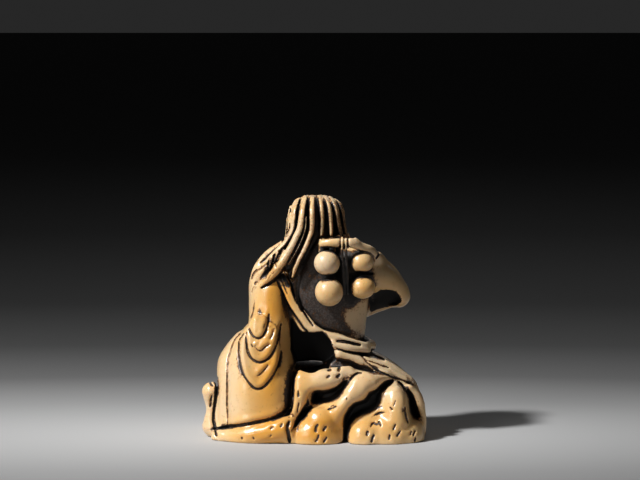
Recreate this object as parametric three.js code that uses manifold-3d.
// A netsuke: a long-haired hermit seated on a rock, carved from one piece of ivory. The figure's
// right hand reaches over the shoulder and holds two cords, and four round fruits hang from them
// down its bare back. A robe covers the left shoulder, and a passage for the wearer's cord opens
// below the waist and leaves through the foot.
//
// The figure faces +Y, so its back and the fruits face -Y. +X is the figure's right, +Z is up.
// Places and sizes are written in units of about a fortieth of the height, and the finished solid
// is scaled to HEIGHT and centred over its foot.
import * as THREE from 'three';
import { mergeVertices } from 'three/addons/utils/BufferGeometryUtils.js';
import Module from 'manifold-3d';

const HEIGHT = 40; // mm, foot to crown
const IVORY = { color: 0xe3bd7e, roughness: 0.32, metalness: 0 };

const CROWN = { x: 0.3, y: 0, z: 39.4 }; // where the locks part
const SKULL = 4.55; // radius of the head under the hair
const MOUTH = { left: -3.8, right: 3.5, floor: 12.1, top: 17.8, end: 0.6 }; // of the cord passage
const SHAFT = { x: 0.1, y: -2.6, radius: 3.1 }; // where that passage leaves through the foot
const OUTSIDE = -14; // Y, clear of the back of the piece

// ---------------------------------------------------------------- shapes

const point = ([x, y, z]) => new THREE.Vector3(x, y, z);

// An egg-shaped body. The tilt is in degrees about X, Y and Z.
function blob(centre, [rx, ry, rz], { tilt = [0, 0, 0], rings = 6 } = {}) {
  const turn = new THREE.Euler(...tilt.map(THREE.MathUtils.degToRad));
  return new THREE.SphereGeometry(1, Math.round(rings * 1.6), rings)
    .rotateX(Math.PI / 2)
    .scale(rx, ry, rz)
    .applyMatrix4(new THREE.Matrix4().makeRotationFromEuler(turn))
    .translate(...centre);
}

// The value of a list at a place from 0, its first entry, to 1, its last.
function along(list, t) {
  const at = t * (list.length - 1);
  const i = Math.min(Math.floor(at), list.length - 2);
  return THREE.MathUtils.lerp(list[i], list[i + 1], at - i);
}

// A limb along a smooth line. Each stop is [x, y, z, radius], and tips is how round its ends are.
function limb(stops, { sides = 5, steps = stops.length - 1, tips = 1 } = {}) {
  const line = new THREE.CatmullRomCurve3(stops.map(point));
  const radii = stops.map((stop) => stop[3]);
  const shape = new THREE.CapsuleGeometry(1, 1, tips, sides, steps);
  const place = shape.attributes.position;
  const vertex = new THREE.Vector3();
  for (let i = 0; i < place.count; i++) {
    vertex.fromBufferAttribute(place, i);
    const t = THREE.MathUtils.clamp(vertex.y + 0.5, 0, 1);
    const past = vertex.y + 0.5 - t;
    const radius = along(radii, t);
    const ahead = line.getTangent(t);
    const across = new THREE.Vector3().crossVectors(ahead, point([0, -1, 0])).normalize();
    const out = new THREE.Vector3().crossVectors(across, ahead).normalize();
    const spot = line
      .getPoint(t)
      .addScaledVector(ahead, past * radius)
      .addScaledVector(across, vertex.x * radius)
      .addScaledVector(out, vertex.z * radius);
    place.setXYZ(i, spot.x, spot.y, spot.z);
  }
  return shape;
}

// A standing body of oval sections. Each level is [z, centre x, centre y, radius x, radius y], from
// the lowest up. square is 1 for an oval and grows towards a rounded rectangle.
function column(levels, { sides = 14, square = 1 } = {}) {
  const shape = new THREE.CylinderGeometry(1, 1, 1, sides, levels.length - 1);
  const place = shape.attributes.position;
  for (let i = 0; i < place.count; i++) {
    const [z, cx, cy, rx, ry] = levels[Math.round((place.getY(i) + 0.5) * (levels.length - 1))];
    const [x, y] = [place.getX(i), -place.getZ(i)];
    const power = 2 * square;
    const round = Math.hypot(x, y);
    const squared = (Math.abs(x) ** power + Math.abs(y) ** power) ** (1 / power);
    const reach = round ? round / squared : 1;
    place.setXYZ(i, cx + rx * reach * x, cy + ry * reach * y, z);
  }
  return shape;
}

// ---------------------------------------------------------------- joins and cuts

const wasm = await Module();
wasm.setup();

function solid(geometry) {
  const bare = geometry.clone().deleteAttribute('normal').deleteAttribute('uv');
  const { index, attributes } = mergeVertices(bare, 1e-3);
  const made = new wasm.Manifold(
    new wasm.Mesh({
      numProp: 3,
      vertProperties: attributes.position.array,
      triVerts: new Uint32Array(index.array),
    }),
  );
  if (made.volume() <= 0) throw new Error('a shape is inside out');
  return made;
}

const join = (geometries) => geometries.map(solid).reduce((whole, piece) => whole.add(piece));
const cut = (whole, geometries) => geometries.map(solid).reduce((rest, tool) => rest.subtract(tool), whole);

// ---------------------------------------------------------------- head and hair

function head() {
  return [
    // skull under the hair, flat on top
    column([
      [27, 0.3, 0.4, SKULL, SKULL],
      [31, 0.3, 0.2, SKULL, SKULL],
      [36.4, 0.3, 0, SKULL, SKULL],
      [38, 0.3, 0, 0.93 * SKULL, 0.93 * SKULL],
      [39.2, 0.3, 0, 0.72 * SKULL, 0.72 * SKULL],
      [39.75, 0.3, 0, 0.42 * SKULL, 0.42 * SKULL],
    ]),
    blob([0.3, 2, 33.4], [3.7, 4, 5.3], { rings: 8 }), // face
    limb([[0.3, 5.75, 34.2, 0.35], [0.3, 6.25, 32.7, 0.62]], { steps: 1 }), // nose
    blob([0.3, 5.1, 30.4], [1.3, 0.8, 0.5], { rings: 4 }), // lips
    blob([0.3, 4.7, 29], [1.4, 1.1, 0.9], { rings: 4 }), // chin
    blob([-1.15, 5.2, 34.9], [1.2, 0.6, 0.35], { rings: 4 }), // brows
    blob([1.75, 5.2, 34.9], [1.2, 0.6, 0.35], { rings: 4 }),
  ];
}

// A lock that hangs straight from the crown. The angle is from straight back, towards the right,
// and the foot flares out from the head.
function hangingLock(angle, foot, flare) {
  const turn = THREE.MathUtils.degToRad(angle);
  const at = (reach, z, radius) => [
    CROWN.x + Math.sin(turn) * reach,
    CROWN.y - Math.cos(turn) * reach,
    z,
    radius,
  ];
  return limb([
    at(2, CROWN.z, 0.45),
    at(0.93 * SKULL, 38, 0.75),
    at(1.05 * SKULL, 35.4, 0.75),
    at(1.1 * SKULL + flare, foot, 0.65),
  ]);
}

function hair() {
  const overHand = [11, 31, 49].map((angle) => hangingLock(angle, 31, 0.3));
  const beside = [67, 86].map((angle) => hangingLock(angle, 31, 0.7));
  const temples = [104, 122, -104, -122].map((angle) => hangingLock(angle, 27, 0.2));
  // these sweep from the back of the head over the left shoulder, outermost first
  const swept = [
    [[-2.4, -0.6, 39.2, 0.5], [-4.2, -1.6, 37.4, 0.65], [-4.6, -1.6, 35.6, 0.7], [-4.9, -1, 32, 0.7]],
    [[-2.2, -1, 39.2, 0.5], [-3.6, -2.8, 37.4, 0.75], [-4, -3.2, 35, 0.8], [-5, -2.6, 32.2, 0.8], [-7.6, -1.6, 30, 0.8],
      [-9.6, -1.8, 27.4, 0.7], [-10.2, -2.2, 25, 0.4]],
    [[-1.8, -1.4, 39.2, 0.5], [-2.9, -3.6, 37.4, 0.75], [-3.3, -4.1, 34.8, 0.8], [-4.4, -4.1, 32.2, 0.85],
      [-6.4, -4.1, 30, 0.85], [-8.5, -4.2, 27.6, 0.75], [-9.6, -4.2, 25.2, 0.4]],
    [[-1.2, -1.7, 39.3, 0.5], [-1.8, -4.3, 37.4, 0.85], [-2.2, -4.9, 34.8, 0.9], [-3.8, -5.2, 31.4, 0.95],
      [-5.7, -5.5, 28.5, 1.05], [-8.6, -5.2, 25.2, 0.45]],
    [[-0.6, -1.8, 39.3, 0.4], [-1.1, -4.4, 36.4, 0.65], [-2, -5, 33, 0.65], [-3.6, -5.3, 29.8, 0.65], [-5, -5.4, 27, 0.5]],
    [[0, -1.9, 39.3, 0.5], [-0.4, -4.7, 37.4, 0.8], [-0.4, -5.1, 34.6, 0.75], [-1.6, -5.5, 31.3, 0.8], [-2.8, -5.7, 28.9, 0.75],
      [-4, -5.8, 25.8, 0.45]],
  ].map((stops) => limb(stops));
  return [...overHand, ...beside, ...temples, ...swept];
}

// ---------------------------------------------------------------- body and arms

function torso() {
  return [
    column([
      [12, 0.6, 0.6, 7.6, 5.6],
      [16, 0.5, 0.4, 7.8, 5],
      [20, 0.4, 0.2, 8.3, 4.9],
      [24, 0, 0, 9, 5],
      [27, -0.2, 0, 8.8, 4.7],
      [29.2, -0.2, 0, 6.2, 3.7],
      [30.4, 0, 0, 3.6, 3],
    ]),
    blob([0.6, 2.6, 18.5], [5.8, 4, 4]), // belly
    blob([6.2, -1.6, 29.4], [4.2, 3, 2.4]), // shoulder under the hand
  ];
}

function rightArm() {
  const elbow = [14.1, 0.6, 22.95];
  const wrist = [9.6, -4.2, 30.5];
  return [
    limb([[8.4, -1, 27, 3], [11.3, -0.4, 25.7, 2.5], [13.5, 0.4, 24, 1.95], [...elbow, 1.65]], { sides: 8, steps: 4 }),
    limb([[...elbow, 1.5], [12.8, 1.6, 26.2, 1.4], [10.2, 0.6, 28.9, 1.3]], { sides: 7, steps: 3 }), // forearm
    limb([[10.2, 0.6, 28.9, 1.3], [10.2, -2, 29.5, 1.1], [...wrist, 0.85]], { sides: 7, steps: 3 }),
    // the rim and the wall that close the hollow of the arm towards the chest
    limb([[13.9, 1.2, 22.5, 1.2], [11.4, 2, 21.6, 1.1], [8.4, 2.2, 20.4, 1.2]], { sides: 7, steps: 3 }),
    blob([10.6, 2.8, 23.6], [3.4, 1.7, 3]),
    // hand over the shoulder, with the fingers to the left
    limb([[...wrist, 0.85], [8.8, -5.2, 31.2, 0.8], [7.5, -6, 31.8, 0.75], [5.9, -6.6, 32.6, 0.95], [2.9, -6.6, 32.5, 0.85],
      [1.4, -6.2, 32.3, 0.7]], { sides: 7, tips: 2 }),
  ];
}

// Two pairs of round fruits on two cords that cross the hand.
function slungFruit() {
  const fruits = [
    [2, -6.6, 29.2, 2.15],
    [2.4, -6.4, 24.4, 2.4],
    [7.8, -5.4, 29.1, 1.9],
    [7.95, -5.2, 25, 2],
  ];
  const cords = [4.55, 5.25].map((x) =>
    limb([[x, -5.6, 33.3, 0.25], [x, -7.5, 32.6, 0.3], [x, -6.6, 30.8, 0.35], [x + 0.2, -5.6, 27.6, 0.45], [x + 0.3, -5, 24, 0.4]], {
      sides: 5,
    }),
  );
  return [...fruits.map(([x, y, z, r]) => blob([x, y, z], [r, r, r], { rings: 8 })), ...cords];
}

function leftHand() {
  const fingers = [0, 1, 2, 3].map((k) =>
    limb([[-8 + k * 0.62, 8.3, 14, 0.42], [-7.7 + k * 0.66, 9.7, 13, 0.4], [-7.6 + k * 0.66, 10.1, 11.8, 0.34]], {
      sides: 4,
      steps: 2,
    }),
  );
  return [limb([[-9, 5.4, 15.6, 1.5], [-8, 7.6, 14.6, 1.3], [-6.9, 8.8, 13.7, 0.9]], { steps: 3 }), ...fingers];
}

// ---------------------------------------------------------------- robe

function sleeve() {
  return [
    // shoulder to elbow
    column([
      [14, -7.4, -1, 3.9, 6.6],
      [18, -7.2, -1, 3.7, 6],
      [22, -7.2, -0.8, 3.65, 5.4],
      [25.5, -7.2, -0.6, 3.6, 4.9],
      [28, -6.8, -0.4, 3.1, 3.9],
      [29.8, -5.9, -0.3, 1.9, 2.4],
    ]),
    // the hanging cloth, and the hem strip behind its left edge
    column([
      [1.6, -8.9, -0.8, 5.5, 9.6],
      [4.6, -8.9, -0.8, 5.6, 9.6],
      [9, -8.8, -0.9, 5.6, 8.9],
      [13, -8.6, -0.8, 5.4, 7.6],
      [16, -8.2, -0.6, 4.6, 6.2],
      [18.6, -7.6, -0.6, 3.4, 4.4],
    ], { square: 1.5 }),
    column([
      [1.4, -12, 0, 4.5, 8],
      [9, -11.9, -0.2, 4.5, 7.2],
      [12.4, -11.9, -0.2, 4.5, 6],
      [15, -11.4, -0.2, 3.6, 4.8],
      [17.2, -10.6, -0.2, 2.4, 3.2],
    ], { square: 1.15 }),
    // nested folds that hang from the elbow
    blob([-9, -8.1, 13.9], [3.4, 0.9, 5.2], { tilt: [-16, 0, 0] }),
    blob([-8.6, -7.8, 16.5], [2.9, 1, 3.5], { tilt: [-14, 0, 0] }),
    blob([-9.1, -6.6, 18.7], [1.65, 1.8, 1.9]),
  ];
}

function sashAndBands() {
  const collar = (shift, radius) =>
    limb([[-5.6 + shift, -4, 26.8, radius], [-4.6 + shift, -5.2, 23.8, radius], [-2.9 + shift, -5.8, 21, radius],
      [-1.2 + shift, -6.1, 18.8, radius], [0.2 + shift, -6.1, 17.6, radius]]);
  return [
    collar(0, 0.65),
    collar(0.85, 0.6),
    // cloth rolled about the waist, in two rolls that close at the right
    limb([[-0.2, -6, 18.3, 0.75], [2.6, -6, 17.1, 0.8], [5.9, -5.6, 16.2, 0.75], [8.6, -4, 15.2, 0.8], [9.3, -0.8, 14.9, 0.9],
      [7.6, 4, 15.2, 1]]),
    limb([[2.6, -6.4, 16, 0.8], [5.6, -6.2, 15.1, 0.85], [8.4, -4.4, 14.5, 0.9]], { tips: 2 }),
    // collar band in front
    limb([[-5, 3.2, 27, 0.7], [-3, 4.8, 23.6, 0.75], [0.6, 6.1, 20.4, 0.8], [4.6, 6, 17.2, 0.85], [7.2, 4.4, 15.4, 0.9]]),
    blob([-5.2, 2.6, 21], [4.4, 3.8, 6]), // robe over the left breast
  ];
}

function skirt() {
  return [
    // over the right thigh, with two folds along it
    limb([[3.4, -2.8, 13.6, 2.6], [8.4, -2.2, 11.2, 3], [12.6, -1.6, 8.6, 3.1], [15.3, -1.2, 5.2, 3]], { sides: 10, steps: 4 }),
    limb([[5, 2, 11.6, 3.6], [10, 3.6, 9, 3.9], [14, 3.4, 6.2, 3.6]], { sides: 10, steps: 3 }),
    limb([[4.2, -6, 14.2, 1.1], [7.6, -5.4, 12.8, 1.2], [11, -5, 11.3, 1.1], [14.6, -4.4, 9.4, 0.9]]),
    limb([[8.6, -4, 13.4, 0.9], [12, -3.6, 11.6, 1], [15.4, -3, 9.2, 1]]),
    column([
      [0, 15, -0.6, 3.4, 6],
      [3, 15, -0.6, 3.35, 5.6],
      [6, 14.7, -0.4, 3.1, 4.8],
      [8.2, 14, -0.2, 2.3, 3.6],
    ]),
    // lap and crossed shins in front
    limb([[-10, 6, 9, 3.6], [-3, 7.4, 8, 3.6], [4, 7.4, 7.6, 3.4], [10.6, 5.4, 7.8, 3.4]], { sides: 10, steps: 4 }),
    blob([-8.6, 6.2, 11.6], [3.6, 3.4, 2.6]), // left knee
  ];
}

// ---------------------------------------------------------------- rock

function rock() {
  return [
    column([[0, -0.2, -0.2, 17.6, 11], [1.4, -0.2, -0.2, 17.7, 11.1], [3, -0.2, 0, 16.4, 10]], { square: 1.35, sides: 22 }), // foot
    column([
      [0, 6.8, -4, 10.6, 7],
      [5, 6.8, -4, 10.4, 6.2],
      [8.6, 6, -4, 9.4, 5.4],
      [10.6, 4.6, -4, 7.6, 5],
      [11.9, 1.8, -4.5, 4.8, 4.4],
    ], { square: 1.3 }), // the mass below the passage
    limb([[-1.4, -7.6, 10.8, 1.4], [-2, -8.6, 8.4, 1.8], [-2.7, -9.2, 5.6, 1.6], [-3.4, -9.4, 2.4, 1.5]]), // left of the hollow
    limb([[-1.4, -7.8, 10.9, 1.1], [1.6, -8.2, 10.9, 1.1], [5.4, -7.8, 11.2, 1.1]]), // over the hollow
    limb([[10.4, -7, 9.6, 1.3], [7.4, -8, 8.8, 1.6], [5.2, -8.8, 7, 1.6], [3.2, -9.6, 5.4, 1.3]]), // below the hollow
    blob([0.5, -7.9, 1.2], [4.9, 4.3, 5.2], { rings: 8 }), // the great boulder
    limb([[13, -7.6, 7.4, 1.8], [13.1, -8.2, 5, 2.1], [12.7, -8.6, 1.6, 2.5]], { sides: 8, tips: 2 }), // standing finger
    blob([9, -8, 0.6], [4.4, 3.9, 4.1]),
    blob([15.2, -6.4, 0.4], [2.9, 3.6, 3.6]),
    limb([[15, -5.6, 8.6, 0.9], [16.8, -4.8, 6.4, 1], [17.3, -4.4, 3.4, 1], [17.2, -4.4, 0.8, 1.1]]), // far right
    limb([[-15.6, -6.4, 0.4, 1.4], [-10.6, -9, 1, 1.8], [-5, -9.6, 2.2, 2.2]]), // ledge under the robe
    // knobs at the far left
    limb([[-16.9, -3, 7.4, 1.7], [-16.7, -3, 4.6, 1.2], [-16.8, -3, 1.8, 1.8]], { sides: 8, tips: 2 }),
    // front
    blob([-9, 7.8, 2.4], [5.4, 4, 4.2]),
    blob([0, 8.6, 2.2], [5, 3.4, 3.6]),
    blob([8.6, 7.8, 2.4], [5.4, 3.9, 4]),
  ];
}

// ---------------------------------------------------------------- what is cut away

// The wearer's cord goes in at the back, under the waist, and out through the foot. The mouth has a
// flat floor on the rock, and narrows upwards along the collar band.
function cordPassage() {
  const { left, right, floor, top, end } = MOUTH;
  const outline = new THREE.Shape()
    .moveTo(left + 0.9, floor)
    .lineTo(right - 1.3, floor)
    .lineTo(right, floor + 1)
    .lineTo(right - 0.9, floor + 4.3)
    .lineTo(right - 2.2, top)
    .lineTo(left + 1.7, top - 0.4)
    .lineTo(left, top + 1.8)
    .lineTo(left, floor + 2.4);
  const mouth = new THREE.ExtrudeGeometry(outline, { depth: end - OUTSIDE, bevelEnabled: false })
    .rotateX(Math.PI / 2)
    .translate(0, end, 0);
  const shaft = new THREE.CylinderGeometry(SHAFT.radius, SHAFT.radius, 18, 12)
    .rotateX(Math.PI / 2)
    .translate(SHAFT.x, SHAFT.y, 5);
  return [mouth, shaft];
}

function hollows() {
  return [
    blob([10.9, -1.4, 22.6], [2.2, 3.2, 1.9], { tilt: [0, 20, 0] }), // under the raised arm
    limb([[0.6, -10, 7.2, 0.8], [2.2, -10, 7.7, 1.25], [4, -9.6, 8.6, 1.1], [6.6, -8.8, 10.6, 0.5]]),
    limb([[6.6, -10, 6, 1.2], [5.6, -11.2, 4.2, 1], [5, -11.8, 1, 0.7]]),
    limb([[12.4, -8.2, 9.4, 0.5], [10.8, -8.8, 8.2, 0.8], [9.2, -9.6, 6.6, 1.1], [7.6, -10.2, 5.8, 1]]),
    limb([[15.2, -7.2, 8.2, 0.5], [15.4, -7.8, 5.8, 0.8], [15.8, -8.4, 3.8, 0.5]]),
  ];
}

// ---------------------------------------------------------------- the finished piece

function netsuke() {
  const belowFoot = new THREE.BoxGeometry(60, 60, 20).translate(0, 0, -10);
  const carved = cut(
    join([
      ...head(),
      ...hair(),
      ...torso(),
      ...rightArm(),
      ...slungFruit(),
      ...leftHand(),
      ...sleeve(),
      ...sashAndBands(),
      ...skirt(),
      ...rock(),
    ]),
    [...cordPassage(), ...hollows(), belowFoot],
  );
  const mesh = carved.getMesh();
  const geometry = new THREE.BufferGeometry()
    .setAttribute('position', new THREE.BufferAttribute(new Float32Array(mesh.vertProperties), 3))
    .setIndex(new THREE.BufferAttribute(mesh.triVerts, 1));
  geometry.computeBoundingBox();
  const { min, max } = geometry.boundingBox;
  geometry.translate(-(min.x + max.x) / 2, -(min.y + max.y) / 2, -min.z);
  const scale = HEIGHT / (max.z - min.z);
  geometry.scale(scale, scale, scale);
  return new THREE.Mesh(geometry, new THREE.MeshStandardMaterial(IVORY));
}

const part = new THREE.Group();
const figure = netsuke();
figure.name = 'seated_hermit_on_rock';
part.add(figure);

export default part;
